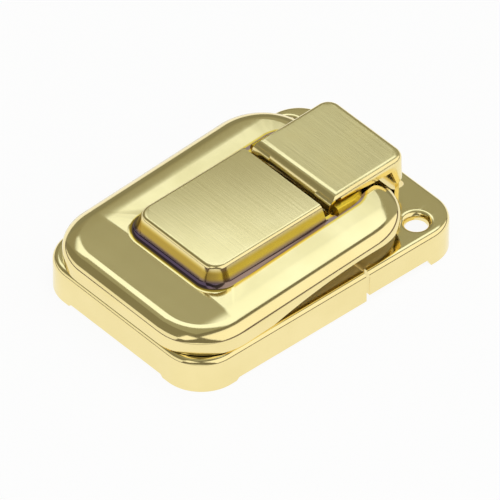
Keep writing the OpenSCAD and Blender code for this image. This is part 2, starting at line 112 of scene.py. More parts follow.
def soft_step(tree: Tree, value: Socket, start: float, end: float) -> Socket:
    """A soft step of a value.

    Args:
        tree: the nodes that it joins.
        value: the number that is stepped.
        start: where the step is 0.
        end: where the step is 1; it may be below start.

    Returns:
        The step's output.
    """
    step = tree.nodes.new("ShaderNodeMapRange")
    step.interpolation_type = "SMOOTHSTEP"
    step.inputs["From Min"].default_value = min(start, end)
    step.inputs["From Max"].default_value = max(start, end)
    step.inputs["To Min"].default_value = 0.0 if start < end else 1.0
    step.inputs["To Max"].default_value = 1.0 if start < end else 0.0
    feed(tree, value, step.inputs["Value"])
    return step.outputs["Result"]


def mixed(tree: Tree, kind: MixKind, first: Fed, second: Fed, share: Fed) -> Socket:
    """A mix of two values, normals or colours.

    Args:
        tree: the nodes that it joins.
        kind: what is mixed.
        first: what a share of 0 gives.
        second: what a share of 1 gives.
        share: the share of the second.

    Returns:
        The mix's output.
    """
    data_type, first_place, second_place, result_place = kind.value
    node = tree.nodes.new("ShaderNodeMix")
    node.data_type = data_type
    feed(tree, share, node.inputs["Factor"])
    feed(tree, first, node.inputs[first_place])
    feed(tree, second, node.inputs[second_place])
    return node.outputs[result_place]


def relief(
    tree: Tree, height: Socket, under: Socket | None = None, strength: float = 1.0, depth: float = 1.0
) -> Socket:
    """A bump, laid over another where there is one.

    Args:
        tree: the nodes that it joins.
        height: the bump's height.
        under: the normal so far.
        strength: the bump's share.
        depth: metres that a height of 1 stands for.

    Returns:
        The normal's output.
    """
    bump = tree.nodes.new("ShaderNodeBump")
    bump.inputs["Strength"].default_value = strength
    bump.inputs["Distance"].default_value = depth
    feed(tree, height, bump.inputs["Height"])
    if under is not None:
        feed(tree, under, bump.inputs["Normal"])
    return bump.outputs["Normal"]


def curved_fall(tree: Tree, run: Socket, curvature: float) -> Socket:
    """Height of a surface that falls away with a run squared, in metres.

    Args:
        tree: the nodes that it joins.
        run: the distance from where it begins to fall, in metres.
        curvature: its curvature, per metre.

    Returns:
        The height's output.
    """
    return product(tree, product(tree, run, run), -curvature / 2)


def axes(tree: Tree, vector: Socket) -> Node:
    """Splits a vector.

    Args:
        tree: the nodes that it joins.
        vector: the vector's output.

    Returns:
        A node with the outputs X, Y and Z.
    """
    split = tree.nodes.new("ShaderNodeSeparateXYZ")
    feed(tree, vector, split.inputs[0])
    return split


def group_node(tree: Tree, group: Tree, vector: Socket, numbers: dict[str, float]) -> Node:
    """Places a shared node group.

    Args:
        tree: the material's nodes.
        group: the shared group.
        vector: the places that it reads.
        numbers: this material's numbers, by the inputs' names.

    Returns:
        The placed node.
    """
    node = tree.nodes.new("ShaderNodeGroup")
    node.node_tree = group
    feed(tree, vector, node.inputs["Vector"])
    for label, number in numbers.items():
        node.inputs[label].default_value = number
    return node


class EffectGroups:
    """Shader node groups that the finishes share, each built once.

    Attributes:
        LINE_DETAIL: detail of the fine lines' noise.
        LINE_ROUGHNESS: weight of that detail.
        STREAK_DETAIL: detail of the wider streaks' noise.
        STREAK_SCALE: scale of the streaks, as a share of the lines'.
        STREAK_SHARE: share of the streaks in the height.
        CLOUD_DETAIL: detail of the slow patches' noise.
        CLOUD_LIMITS: the noise at which a patch starts, and at which it is full.
    """

    LINE_DETAIL = 3.0
    LINE_ROUGHNESS = 0.62
    STREAK_DETAIL = 2.0
    STREAK_SCALE = 0.22
    STREAK_SHARE = 0.35
    CLOUD_DETAIL = 3.0
    CLOUD_LIMITS = (0.32, 0.68)

    def __init__(self) -> None:
        """Starts with no group built."""
        self._built: dict[str, Tree] = {}

    def _open(
        self, name: str, numbers: tuple[str, ...], outputs: tuple[str, ...]
    ) -> tuple[Tree, Node, Node]:
        """Makes an empty group that reads a Vector.

        Args:
            name: the group's name.
            numbers: names of its number inputs.
            outputs: names of its number outputs.

        Returns:
            The group, its input node and its output node.
        """
        tree = bpy.data.node_groups.new(name, "ShaderNodeTree")
        tree.interface.new_socket("Vector", in_out="INPUT", socket_type="NodeSocketVector")
        for label in numbers:
            tree.interface.new_socket(label, in_out="INPUT", socket_type="NodeSocketFloat")
        for label in outputs:
            tree.interface.new_socket(label, in_out="OUTPUT", socket_type="NodeSocketFloat")
        self._built[name] = tree
        return tree, tree.nodes.new("NodeGroupInput"), tree.nodes.new("NodeGroupOutput")

    def _noise(self, tree: Tree, vector: Socket, scale: Socket, detail: float) -> Node:
        """Adds a noise to a group.

        Args:
            tree: the group's nodes.
            vector: the places that it reads.
            scale: its scale.
            detail: its detail.

        Returns:
            The noise node.
        """
        noise = tree.nodes.new("ShaderNodeTexNoise")
        noise.inputs["Detail"].default_value = detail
        feed(tree, vector, noise.inputs["Vector"])
        feed(tree, scale, noise.inputs["Scale"])
        return noise

    def polish_lines(self) -> Tree:
        """Fine broken lines of a polishing belt, running along the stretched axis of Vector.

        Returns:
            The group, with a Height for a bump and a Streak from 0 to 1.
        """
        if "polish_lines" in self._built:
            return self._built["polish_lines"]
        tree, entry, leave = self._open("polish_lines", ("Fineness",), ("Height", "Streak"))
        vector, fineness = entry.outputs["Vector"], entry.outputs["Fineness"]
        fine = self._noise(tree, vector, fineness, self.LINE_DETAIL)
        fine.inputs["Roughness"].default_value = self.LINE_ROUGHNESS
        wider = product(tree, fineness, self.STREAK_SCALE)
        streak = self._noise(tree, vector, wider, self.STREAK_DETAIL).outputs[0]
        height = mixed(tree, MixKind.VALUE, fine.outputs[0], streak, self.STREAK_SHARE)
        feed(tree, height, leave.inputs["Height"])
        feed(tree, streak, leave.inputs["Streak"])
        return tree

    def soft_cloud(self) -> Tree:
        """Slow patches left by plating and handling.

        Returns:
            The group, with a Cloud from 0 to 1.
        """
        if "soft_cloud" in self._built:
            return self._built["soft_cloud"]
        tree, entry, leave = self._open("soft_cloud", ("Scale",), ("Cloud",))
        noise = self._noise(tree, entry.outputs["Vector"], entry.outputs["Scale"], self.CLOUD_DETAIL)
        feed(tree, soft_step(tree, noise.outputs[0], *self.CLOUD_LIMITS), leave.inputs["Cloud"])
        return tree

    def plan_distance(self) -> Tree:
        """How far a point lies outside a rounded outline, seen from above.

        Returns:
            The group, with a Distance in metres that is negative inside the outline.
        """
        if "plan_distance" in self._built:
            return self._built["plan_distance"]
        sizes = ("Middle", "Half Length", "Half Width", "Corner")
        tree, entry, leave = self._open("plan_distance", sizes, ("Distance",))
        corner = entry.outputs["Corner"]
        place = axes(tree, entry.outputs["Vector"])
        along = math_node(tree, "SUBTRACT", place.outputs["X"], entry.outputs["Middle"])
        past = []
        for run, half in ((along, "Half Length"), (place.outputs["Y"], "Half Width")):
            straight = math_node(tree, "SUBTRACT", entry.outputs[half], corner)
            past.append(math_node(tree, "SUBTRACT", math_node(tree, "ABSOLUTE", run), straight))
        outer = [math_node(tree, "MAXIMUM", run, 0.0) for run in past]
        squares = [product(tree, run, run) for run in outer]
        reach = math_node(tree, "SQRT", math_node(tree, "ADD", *squares))
        depth = math_node(tree, "MINIMUM", math_node(tree, "MAXIMUM", *past), 0.0)
        distance = math_node(tree, "SUBTRACT", math_node(tree, "ADD", reach, depth), corner)
        feed(tree, distance, leave.inputs["Distance"])
        return tree


@dataclass(frozen=True)
class Surface:
    """The nodes that every step of a finish reads.

    Attributes:
        tree: the material's nodes.
        effects: the shared node groups.
        place: the texture coordinate node.
        lines: the polishing lines.
        cloud: the slow patches.
    """

    tree: Tree
    effects: EffectGroups
    place: Node
    lines: Node
    cloud: Node


@dataclass(frozen=True)
class Outline:
    """Rounded rectangle seen from above, in metres.

    Attributes:
        middle: place of its middle along X.
        half_length: half its length along X.
        half_width: half its width along Y.
        corner: radius of its corners.
    """

    middle: float
    half_length: float
    half_width: float
    corner: float

    def distance(self, surface: Surface) -> Socket:
        """Measures each point of a surface from the outline.

        Args:
            surface: the material's nodes.

        Returns:
            The distance's output, negative inside.
        """
        sizes = {
            "Middle": self.middle,
            "Half Length": self.half_length,
            "Half Width": self.half_width,
            "Corner": self.corner,
        }
        group = surface.effects.plan_distance()
        measure = group_node(surface.tree, group, surface.place.outputs["Object"], sizes)
        return measure.outputs["Distance"]


LEVER_PLAN = Outline(middle=-0.0036, half_length=0.022, half_width=0.0175, corner=0.009)
BLOCK_FLAT = Outline(middle=-0.00035, half_length=0.01405, half_width=0.00845, corner=0.0022)


class Grain(Enum):
    """Direction of the fine lines that polishing left, as the stretch of their pattern on X, Y and Z."""

    ACROSS = (1.0, 0.035, 1.0)
    ALONG = (0.035, 1.0, 1.0)


@dataclass(frozen=True)
class Plating:
    """A polished or plain metal finish.

    Attributes:
        name: the material's name.
        light: colour where the plating is thickest.
        deep: colour in its slow darker patches.
        smooth: roughness of the best polished places.
        dull: roughness of the least polished places.
        grain: direction of the polishing lines.
        fineness: lines' noise scale, per metre across them.
        line_share: bump strength of the lines.
        line_depth: depth of the lines at full strength, in metres.
        patch_scale: noise scale of the slow patches, per metre.
    """

    name: str
    light: Colour
    deep: Colour
    smooth: float
    dull: float
    grain: Grain
    fineness: float
    line_share: float
    line_depth: float = 0.008 * MILLIMETRE
    patch_scale: float = 140.0

    def material(self, effects: EffectGroups) -> bpy.types.Material:
        """Builds the finish as a material.

        Args:
            effects: the shared node groups.

        Returns:
            The new material.
        """
        made = bpy.data.materials.new(self.name)
        made.use_nodes = True
        tree = made.node_tree
        shader = tree.nodes["Principled BSDF"]
        shader.inputs["Metallic"].default_value = 1.0
        place = tree.nodes.new("ShaderNodeTexCoord")
        spot = place.outputs["Object"]
        stretch = tree.nodes.new("ShaderNodeMapping")
        stretch.inputs["Scale"].default_value = self.grain.value
        feed(tree, spot, stretch.inputs["Vector"])
        drawn = stretch.outputs["Vector"]
        lines = group_node(tree, effects.polish_lines(), drawn, {"Fineness": self.fineness})
        cloud = group_node(tree, effects.soft_cloud(), spot, {"Scale": self.patch_scale})
        surface = Surface(tree, effects, place, lines, cloud)
        feed(tree, self._colour(surface), shader.inputs["Base Color"])
        feed(tree, self._gloss(surface), shader.inputs["Roughness"])
        feed(tree, self._normal(surface), shader.inputs["Normal"])
        return made

    def _colour(self, surface: Surface) -> Socket:
        """Varies the base colour between the light and the deep gold.

        Args:
            surface: the material's nodes.

        Returns:
            The colour's output.
        """
        cloud = surface.cloud.outputs["Cloud"]
        return mixed(surface.tree, MixKind.COLOUR, opaque(self.light), opaque(self.deep), cloud)

    def _gloss(self, surface: Surface) -> Socket:
        """Varies the roughness with the lines and the patches alike.

        Args:
            surface: the material's nodes.

        Returns:
            The roughness's output.
        """
        streak, cloud = surface.lines.outputs["Streak"], surface.cloud.outputs["Cloud"]
        both = mixed(surface.tree, MixKind.VALUE, streak, cloud, share=0.5)
        return mixed(surface.tree, MixKind.VALUE, self.smooth, self.dull, both)

    def _normal(self, surface: Surface) -> Socket:
        """Gives the polishing lines their relief.

        Args:
            surface: the material's nodes.

        Returns:
            The normal's output.
        """
        height = surface.lines.outputs["Height"]
        return relief(surface.tree, height, strength=self.line_share, depth=self.line_depth)


@dataclass(frozen=True)
class CoveredPlating(Plating):
    """Polished plating that stays unpolished where another sheet covers it.

    Attributes:
        cover: outline of the sheet that covers it.
        margin: how far inside that outline the polish begins to end, in metres.
        unpolished: roughness that the covered part adds.
    """

    cover: Outline = LEVER_PLAN
    margin: float = 0.6 * MILLIMETRE
    unpolished: float = 0.55

    def _gloss(self, surface: Surface) -> Socket:
        """Roughens the covered part.

        Args:
            surface: the material's nodes.

        Returns:
            The roughness's output.
        """
        tree = surface.tree
        under = soft_step(tree, self.cover.distance(surface), -self.margin, -2 * self.margin)
        return math_node(tree, "ADD", super()._gloss(surface), product(tree, under, self.unpolished))


@dataclass(frozen=True)
class PressedPlating(Plating):
    """Plating of a cover with a pressed block: painted reflection on its walls, painted shade round its
    foot, and a brushed crown.

    Attributes:
        block: outline of the block's flat.
        wall: colour painted on the block's walls, a painted reflection of the gold walls in each other.
        painted_front_wall_shade: darker colour painted on its wall at the lever's free end, a painted
            shade there.
        foot: colour painted in the hollow round its foot, a painted shade.
        painted_front_foot_shade: colour painted in the hollow below the front wall, a deeper painted
            shade.
        wall_from: distance from the flat at which the wall begins, in metres as those below.
        foot_from: distance at which the foot begins.
        foot_to: distance at which the foot ends.
        fade: half the width over which one colour turns into the next.
        upward: rise of a face's normal that is the sheet's underside, and that is its outside.
        forward: run of a face's normal along X that is not yet the front, and that is.
        brushed: roughness that the block's flat adds.
        brush_depth: depth of the brush lines on the flat, in metres.
        crown_along: curvature of the flat along X, per metre.
        crown_across: curvature of the flat along Y, per metre.
        crown_start: place along X where the flat begins to fall away, in metres.
        shoulder: curvature of the cover near its long edges, per metre.
        shoulder_start: distance from the middle plane at which the cover begins to fall away, in metres.
    """

    block: Outline = BLOCK_FLAT
    # Painted light: the wall colours are a painted reflection of the gold walls in each other, darker at
    # the free end as painted shade, and the foot colours are painted shade in the hollow round the foot.
    wall: Colour = (0.78, 0.56, 0.06)
    painted_front_wall_shade: Colour = (0.48, 0.33, 0.06)
    foot: Colour = (0.3, 0.21, 0.17)
    painted_front_foot_shade: Colour = (0.1, 0.07, 0.11)
    wall_from: float = 0.3 * MILLIMETRE
    foot_from: float = 0.9 * MILLIMETRE
    foot_to: float = 1.9 * MILLIMETRE
    fade: float = 0.2 * MILLIMETRE
    upward: tuple[float, float] = (0.0, 0.15)
    forward: tuple[float, float] = (-0.2, -0.7)
    brushed: float = 0.08
    brush_depth: float = 0.007 * MILLIMETRE
    crown_along: float = 1.9
    crown_across: float = 4.5
    crown_start: float = 6.0 * MILLIMETRE
    shoulder: float = 36.0
    shoulder_start: float = 12.7 * MILLIMETRE

    def _colour(self, surface: Surface) -> Socket:
        """Paints a reflection on the block's walls and shade in the hollow round its foot.

        Args:
            surface: the material's nodes.

        Returns:
            The colour's output.
        """
        tree, fade = surface.tree, self.fade
        away = self.block.distance(surface)
        facing = axes(tree, surface.place.outputs["Normal"])
        outside = soft_step(tree, facing.outputs["Z"], *self.upward)
        front = soft_step(tree, facing.outputs["X"], *self.forward)
        wall_start = soft_step(tree, away, self.wall_from - fade, self.wall_from + fade)
        wall_end = soft_step(tree, away, self.foot_to + fade, self.foot_to - fade)
        foot_start = soft_step(tree, away, self.foot_from - fade, self.foot_from + fade)
        foot_end = soft_step(tree, away, self.foot_to - fade, self.foot_to - 2 * fade)
        # Where the painted wall reflection and the painted foot shade lie.
        walls = product(tree, product(tree, wall_start, wall_end), outside)
        feet = product(tree, product(tree, foot_start, foot_end), outside)
        colour = super()._colour(surface)
        for layer, share in (
            (self.wall, walls),
            (self.painted_front_wall_shade, product(tree, walls, front)),
            (self.foot, feet),
            (self.painted_front_foot_shade, product(tree, feet, front)),
        ):
            colour = mixed(tree, MixKind.COLOUR, colour, opaque(layer), share)
        return colour

    def _on_flat(self, surface: Surface) -> Socket:
        """A mask that is 1 on the block's flat."""
        return soft_step(surface.tree, self.block.distance(surface), 0.0, -self.wall_from)

    def _gloss(self, surface: Surface) -> Socket:
        """Brushes the block's flat.

        Args:
            surface: the material's nodes.

        Returns:
            The roughness's output.
        """
        more = product(surface.tree, self._on_flat(surface), self.brushed)
        return math_node(surface.tree, "ADD", super()._gloss(surface), more)

    def _normal(self, surface: Surface) -> Socket:
        """Adds the cover's soft shoulders, and the flat's brush lines and faint crown.

        Args:
            surface: the material's nodes.

        Returns:
            The normal's output.
        """
        tree = surface.tree
        place = axes(tree, surface.place.outputs["Object"])
        aside = math_node(tree, "ABSOLUTE", place.outputs["Y"])
        past = math_node(tree, "MAXIMUM", math_node(tree, "SUBTRACT", aside, self.shoulder_start), 0.0)
        drop = curved_fall(tree, past, self.shoulder)
        plain = relief(tree, drop, super()._normal(surface))
        brushed = relief(tree, surface.lines.outputs["Height"], plain, depth=self.brush_depth)
        ahead = math_node(tree, "SUBTRACT", place.outputs["X"], self.crown_start)
        along = curved_fall(tree, math_node(tree, "MINIMUM", ahead, 0.0), self.crown_along)
        across = curved_fall(tree, place.outputs["Y"], self.crown_across)
        crown = relief(tree, math_node(tree, "ADD", along, across), brushed)
        return mixed(tree, MixKind.NORMAL, plain, crown, self._on_flat(surface))


GOLD: Colour = (0.94, 0.8, 0.4)
DEEP_GOLD: Colour = (0.91, 0.77, 0.37)
COVERED = CoveredPlating(
    name="covered_gold",
    light=GOLD,
    deep=DEEP_GOLD,
    smooth=0.08,
    dull=0.13,
    grain=Grain.ACROSS,
    fineness=9000.0,
    line_share=0.08,
)
PRESSED = PressedPlating(
    name="pressed_gold",
    light=GOLD,
    deep=DEEP_GOLD,
    smooth=0.08,
    dull=0.13,
    grain=Grain.ACROSS,
    fineness=2600.0,
    line_share=0.1,
)
# Painted reflection: the seat's saturated yellow stands in for the light that the gold walls throw on
# each other.
SEAT_PAINTED_REFLECTION = Plating(
    name="seat_painted_reflection",
    light=(0.92, 0.67, 0.06),
    deep=(0.84, 0.58, 0.04),
    smooth=0.3,
    dull=0.42,
    grain=Grain.ACROSS,
    fineness=9000.0,
    line_share=0.08,
)
BRUSHED = Plating(
    name="brushed_gold",
    light=(0.93, 0.8, 0.4),
    deep=(0.9, 0.76, 0.36),
    smooth=0.15,
    dull=0.24,
    grain=Grain.ACROSS,
    fineness=2600.0,
    line_share=1.0,
)
INNER = Plating(
    name="inner_gold",
    light=(0.8, 0.65, 0.28),
    deep=(0.7, 0.56, 0.24),
    smooth=0.22,
    dull=0.36,
    grain=Grain.ALONG,
    fineness=7000.0,
    line_share=0.4,
)
WIRE = Plating(
    name="pin_steel",
    light=(0.66, 0.63, 0.55),
    deep=(0.58, 0.55, 0.48),
    smooth=0.2,
    dull=0.32,
    grain=Grain.ACROSS,
    fineness=6000.0,
    line_share=0.3,
)


class FinishShelf:
    """Materials of the finishes, each made once."""

    def __init__(self) -> None:
        """Starts empty."""
        self._effects = EffectGroups()
        self._made: dict[str, bpy.types.Material] = {}

    def take(self, finish: Plating) -> bpy.types.Material:
        """Gives a finish's material.

        Args:
            finish: the finish.

        Returns:
            Its material, made at the first call.
        """
        if finish.name not in self._made:
            self._made[finish.name] = finish.material(self._effects)
        return self._made[finish.name]


class Piece:
    """A named piece with a finish."""

    def __init__(self, name: str, finish: Plating) -> None:
        """Names the piece and its finish."""
        self.name = name
        self.finish = finish

    def dress(self, shelf: FinishShelf) -> None:
        """Puts the finish on the piece."""
        raise NotImplementedError

    def _crisp_bends(self, piece: bpy.types.Object) -> None:
        """Lets bends shade as curves and keeps cut edges crisp.

        Args:
            piece: the piece's object.
        """
        split = piece.modifiers.new("cut_edges", "EDGE_SPLIT")
        split.split_angle = BEND_ANGLE
        split.use_edge_sharp = False
        even = piece.modifiers.new("even_flats", "WEIGHTED_NORMAL")
        even.weight = LARGE_FACE_WEIGHT


class SheetPiece(Piece):
    """A CAD node that keeps its solid and gets clean shading and a finish."""

    def dress(self, shelf: FinishShelf) -> None:
        """Joins the node's loose triangles, smooths its bends and puts the finish on it.

        Args:
            shelf: the materials.
        """
        piece = frame["nodes"][self.name]
        piece.data.materials.clear()
        piece.data.materials.append(shelf.take(self.finish))
        joined = piece.modifiers.new("joined", "WELD")
        joined.merge_threshold = JOIN_REACH
        self._crisp_bends(piece)


class AddedPiece(Piece):
    """A small form that the scene adds to a moving body."""

    def __init__(self, name: str, finish: Plating, shape: bmesh.types.BMesh, body: str) -> None:
        """Keeps the built shape and its body too.

        Args:
            name: the piece's name.
            finish: its finish.
            shape: its mesh in the closed pose, in metres.
            body: the body that it rides on.
        """
        super().__init__(name, finish)
        self.shape = shape
        self.body = body

    def dress(self, shelf: FinishShelf) -> None:
        """Makes the object, puts the finish on it and lets it ride on its body.

        Args:
            shelf: the materials.
        """
        bmesh.ops.recalc_face_normals(self.shape, faces=self.shape.faces)
        for face in self.shape.faces:
            face.smooth = True
        mesh = bpy.data.meshes.new(self.name)
        self.shape.to_mesh(mesh)
        self.shape.free()
        mesh.materials.append(shelf.take(self.finish))
        piece = bpy.data.objects.new(self.name, mesh)
        bpy.context.scene.collection.objects.link(piece)
        self._crisp_bends(piece)
        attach(piece, self.body)


class SubAssembly:
    """Pieces of the latch that belong together."""

    def build(self) -> list[Piece]:
        """Builds the pieces, ready to dress."""
        raise NotImplementedError

    def dress(self, shelf: FinishShelf) -> None:
        """Builds each piece, puts its finish on it and reports it.

        Args:
            shelf: the materials.
        """
        for piece in self.build():
            piece.dress(shelf)
            LOG.info("%s dressed in %s", piece.name, piece.finish.name)


@dataclass
class Plates(SubAssembly):
    """Base and keeper, the two drawn pans that are screwed down.

    Attributes:
        nodes: nodes of the pans.
        finish: their finish.
    """

    nodes: tuple[str, ...] = ("base_plate", "keeper_plate")
    finish: Plating = COVERED

    def build(self) -> list[Piece]:
        """The pans, ready to dress."""
        return [SheetPiece(node, self.finish) for node in self.nodes]


@dataclass
class Cover(SubAssembly):
    """Lever with its pressed block, the seat under the hook and the yoke.

    Attributes:
        cover: node of the lever.
        yoke: node of the yoke.
        body: the body that the seat rides on.
        finish: the lever's finish.
        yoke_finish: the yoke's finish.
        seat_finish: the seat's finish, whose saturated yellow is a painted reflection.
        seat_start: front end of the seat along X, in millimetres as the sizes below.
        seat_end: its rear end at the foot.
        seat_half: half its width at the foot.
        seat_top: height of the cover under its front end.
        seat_rise: height of the seat at its front end.
        seat_fall: how much lower its rear end is.
        seat_draft: inward lean of its walls.
        seat_corner: plan radius of its rear corners.
        seat_rim: rounding of its upper edge.
        seat_sunk: how far it reaches into the cover.
        corner_steps: faces round a rear corner.
        rim_steps: faces across the rounding of its upper edge.
        wall_rise: rise of a face's normal below which the face is a wall.
        tilt: slope of the cover there, in degrees.
    """

    cover: str = "lever"
    yoke: str = "lever_yoke"
    body: str = "lever"
    finish: Plating = PRESSED
    yoke_finish: Plating = INNER
    seat_finish: Plating = SEAT_PAINTED_REFLECTION
    seat_start: float = 8.45
    seat_end: float = 14.4
    seat_half: float = 9.75
    seat_top: float = 10.78
    seat_rise: float = 0.86
    seat_fall: float = 0.4
    seat_draft: float = 0.4
    seat_corner: float = 2.4
    seat_rim: float = 0.25
    seat_sunk: float = 0.2
    corner_steps: int = 10
    rim_steps: int = 4
    wall_rise: float = 0.6
    tilt: float = 3.5

    def build(self) -> list[Piece]:
        """Builds the lever's pieces.

        Returns:
            The lever, its yoke and the seat, ready to dress.
        """
        return [
            SheetPiece(self.cover, self.finish),
            SheetPiece(self.yoke, self.yoke_finish),
            AddedPiece("rear_seat", self.seat_finish, self._seat(), self.body),
        ]

    def _seat(self) -> bmesh.types.BMesh:
        """The low rear part of the block, in line with its side walls.

        Returns:
            The seat in the closed pose, in metres.
        """
        length = self.seat_end - self.seat_start
        shape = self._wedge(length)
        uprights = [
            edge
            for edge in shape.edges
            if all(vert.co.x > length / 2 for vert in edge.verts)
            and edge.verts[0].co.y * edge.verts[1].co.y > 0.0
        ]
        self._round(shape, uprights, self.seat_corner, self.corner_steps)
        rim = [
            edge
            for edge in shape.edges
            if all(vert.co.z > 0.0 for vert in edge.verts)
            and not all(vert.co.x < length / 4 for vert in edge.verts)
            and any(face.normal.z < self.wall_rise for face in edge.link_faces)
            and any(face.normal.z > self.wall_rise for face in edge.link_faces)
        ]
        self._round(shape, rim, self.seat_rim, self.rim_steps)
        turn = Matrix.Rotation(math.radians(-self.tilt), 3, "Y")
        bmesh.ops.rotate(shape, cent=(0.0, 0.0, 0.0), matrix=turn, verts=shape.verts)
        bmesh.ops.translate(shape, vec=(self.seat_start, 0.0, self.seat_top), verts=shape.verts)
        bmesh.ops.scale(shape, vec=(MILLIMETRE,) * 3, verts=shape.verts)
        return shape

    def _wedge(self, length: float) -> bmesh.types.BMesh:
        """The seat's block with leaning walls and a falling top, before its edges are rounded.

        Args:
            length: the seat's length at its foot.

        Returns:
            The block in millimetres, with the cover's surface at a height of 0.
        """
        height = self.seat_rise + self.seat_sunk
        shape = bmesh.new()
        bmesh.ops.create_cube(shape, size=1.0)
        bmesh.ops.scale(shape, vec=(length, 2 * self.seat_half, height), verts=shape.verts)
        middle = (length / 2, 0.0, height / 2 - self.seat_sunk)
        bmesh.ops.translate(shape, vec=middle, verts=shape.verts)
        top = [vert for vert in shape.verts if vert.co.z > 0.0]
        inward = 1.0 - self.seat_draft / self.seat_half
        bmesh.ops.scale(shape, vec=(1.0, inward, 1.0), verts=top)
        rear = [vert for vert in top if vert.co.x > length / 2]
        bmesh.ops.translate(shape, vec=(-self.seat_draft, 0.0, -self.seat_fall), verts=rear)
        return shape

    def _round(
        self, shape: bmesh.types.BMesh, edges: list[bmesh.types.BMEdge], radius: float, steps: int
    ) -> None:
        """Rounds edges of the seat.

        Args:
            shape: the seat so far.
            edges: the edges that are rounded.
            radius: width of the rounding, in millimetres.
            steps: faces across the rounding.
        """
        bmesh.ops.bevel(
            shape,
            geom=edges,
            offset=radius,
            segments=steps,
            profile=0.5,
            affect="EDGES",
            material=-1,
        )
        shape.normal_update()


@dataclass
class Claw(SubAssembly):
    """Hook with its rolled edge and the apron that closes its front.

    Attributes:
        node: node of the hook.
        body: the body that the apron rides on.
        joint: the joint whose axis is the hook's pin.
        finish: finish of both.
        outside: outer radius of the apron round the hook's pin, in millimetres as the sizes below.
        inside: its inner radius, clear of the yoke's ears.
        near: distance of its inner end from the middle plane.
        far: distance of its outer end from there.
        first: angle at which it starts over the pin, in degrees.
        last: angle at which it ends below the pin's front, in degrees.
        steps: faces along its bend.
    """

    node: str = "hook"
    body: str = "hook"
    joint: str = "hook_pivot"
    finish: Plating = BRUSHED
    outside: float = 1.46
    inside: float = 1.18
    near: float = 5.0
    far: float = 8.4
    first: float = 95.0
    last: float = 198.0
    steps: int = 16

    def build(self) -> list[Piece]:
        """Builds the hook's pieces.

        Returns:
            The hook and its apron, ready to dress.
        """
        return [
            SheetPiece(self.node, self.finish),
            AddedPiece("hook_apron", self.finish, self._apron(), self.body),
        ]

    def _apron(self) -> bmesh.types.BMesh:
        """Two curved strips that carry the hook's bend down in front of the yoke's ears.

        Returns:
            The strips in the closed pose, in metres.
        """
        shape = bmesh.new()
        for side in (-1.0, 1.0):
            self._strip(shape, side)
        joints = {joint["name"]: joint for joint in frame["record"]["behaviour"]["joints"]}
        bmesh.ops.scale(shape, vec=(MILLIMETRE,) * 3, verts=shape.verts)
        bmesh.ops.translate(shape, vec=joints[self.joint]["pos_m"], verts=shape.verts)
        return shape

    def _strip(self, shape: bmesh.types.BMesh, side: float) -> None:
        """Spins one strip's section round the hook's pin.

        Args:
            shape: the mesh that the strip joins.
            side: -1 for the near side, 1 for the far side.
        """
        start = math.radians(self.first)
        ends = (
            (self.inside, self.near),
            (self.outside, self.near),
            (self.outside, self.far),
            (self.inside, self.far),
        )
        section = shape.faces.new(
            shape.verts.new((radius * math.cos(start), side * across, radius * math.sin(start)))
            for radius, across in ends
        )
        bmesh.ops.spin(
            shape,
            geom=[section, *section.edges, *section.verts],
            cent=(0.0, 0.0, 0.0),
            axis=(0.0, -1.0, 0.0),
            angle=math.radians(self.last - self.first),
            steps=self.steps,
            use_merge=False,
        )


@dataclass
class Pivots(SubAssembly):
    """Riveted bracket and the two pins.

    Attributes:
        bracket: nodes of the bracket and its rivets.
        pins: nodes of the pins.
        finish: finish of the bracket and its rivets.
        pin_finish: finish of the pins.
    """

    bracket: tuple[str, ...] = ("fulcrum_bracket", "bracket_rivet_left", "bracket_rivet_right")
    pins: tuple[str, ...] = ("fulcrum_pin", "hook_pin")
    finish: Plating = INNER
    pin_finish: Plating = WIRE

    def build(self) -> list[Piece]:
        """The bracket, its rivets and the pins, ready to dress."""
        held = [SheetPiece(node, self.finish) for node in self.bracket]
        return held + [SheetPiece(node, self.pin_finish) for node in self.pins]


@dataclass(frozen=True)
class Zone:
    """A patch of the room's light, bounded by directions as run over rise.

    Attributes:
        light: its colour times its brightness.
        along: limits of the run along X, None where it stays open.
        across: limits of the run along Y, likewise.
        height: limits of the sine of the elevation, likewise.
        soft: width over which its edges fade.
        slant: share of the run across that is added to the run along.
    """

    light: Colour
    along: Limits = (None, None)
    across: Limits = (None, None)
    height: Limits = (None, None)
    soft: float = 0.03
    slant: float = 0.0


GREY_ROOM: Colour = (0.36, 0.36, 0.29)
ROOM_ZONES: tuple[Zone, ...] = (
    # Dim wall on the far side
    Zone((0.26, 0.255, 0.2), across=(1.45, None), soft=0.4),
    # Broad panel overhead
    Zone((1.14, 1.26, 1.42), along=(0.35, 0.87), across=(-0.1, None), slant=0.35),
    # Far end of the panel, dimmed
    Zone((0.3, 0.29, 0.22), along=(-0.6, 0.9), across=(1.12, None), soft=0.4),
    # Dim wall past the lever's free end, with a bright card in its lower part
    Zone((0.24, 0.23, 0.17), along=(None, -0.2)),
    Zone((0.95, 0.95, 0.93), along=(None, -1.2), height=(0.08, None), soft=0.2),
    # Dim gap on the near side of the panel
    Zone((0.2, 0.19, 0.15), along=(None, 0.85), across=(None, -0.12)),
    # Reflectors at the free end and on the near side
    Zone((1.1, 1.09, 1.06), along=(-1.4, -0.45), across=(-0.45, 0.0), soft=0.08),
    Zone((1.1, 1.09, 1.06), along=(-0.3, None), across=(None, -0.38), soft=0.08),
    # Dark bands just over the floor, at the free end and on the near side
    Zone((0.11, 0.085, 0.1), along=(None, 0.0), height=(None, 0.12), soft=0.06),
    Zone((0.16, 0.125, 0.13), across=(None, 0.0), height=(None, 0.19), soft=0.06),
    # Bright card low in the corner between them
    Zone((1.0, 1.0, 0.97), along=(None, -2.0), across=(None, -2.0), height=(0.03, None), soft=0.5),
)
WHITE: Colour = (1.0, 1.0, 1.0)


